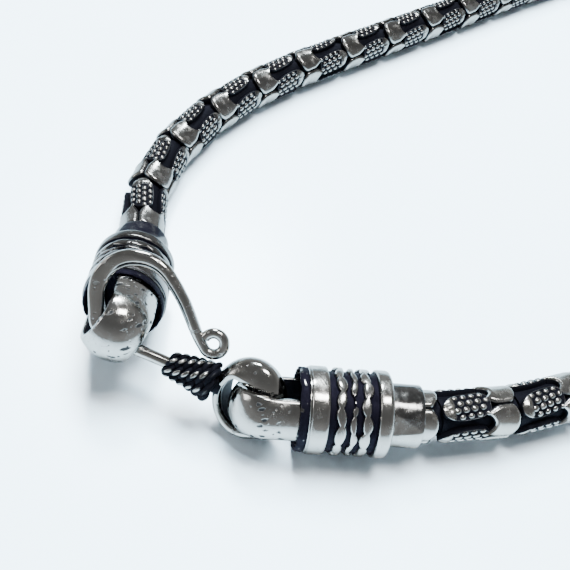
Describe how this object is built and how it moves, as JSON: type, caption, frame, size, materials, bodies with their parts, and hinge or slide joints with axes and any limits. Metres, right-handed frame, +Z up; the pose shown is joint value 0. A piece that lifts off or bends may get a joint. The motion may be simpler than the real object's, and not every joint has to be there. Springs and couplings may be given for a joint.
{
  "type": "snake chain necklace",
  "caption": "Heavy oxidised silver neck chain of patterned round links with barrel end caps, domed end loops and a hook clasp, closed and lying flat.",
  "frame": {"origin": "middle of the whole closed necklace's footprint, at the height of the surface it lies on", "axes": "+X along the oval from the clasp to the far end of the chain, +Y across the oval, +Z up from the surface"},
  "size_m": [0.2076, 0.0972, 0.0148],
  "materials": {
    "chain_silver": "oxidised in the hollows, polished on the pads and collars",
    "cap_silver": "polished bands, dark ground between raised rows",
    "loop_silver": "polished, pitted and scratched",
    "hook_silver": "polished, worn",
    "dark_wire": "blackened, bright on the crests"
  },
  "bodies": {
    "root": {"snake_chain": "chain_silver", "end_cap_right": "cap_silver", "end_cap_left": "cap_silver", "end_loop_right": "loop_silver", "end_loop_left": "loop_silver", "hook": "hook_silver", "neck_wrap": "dark_wire"}
  },
  "joints": []
}
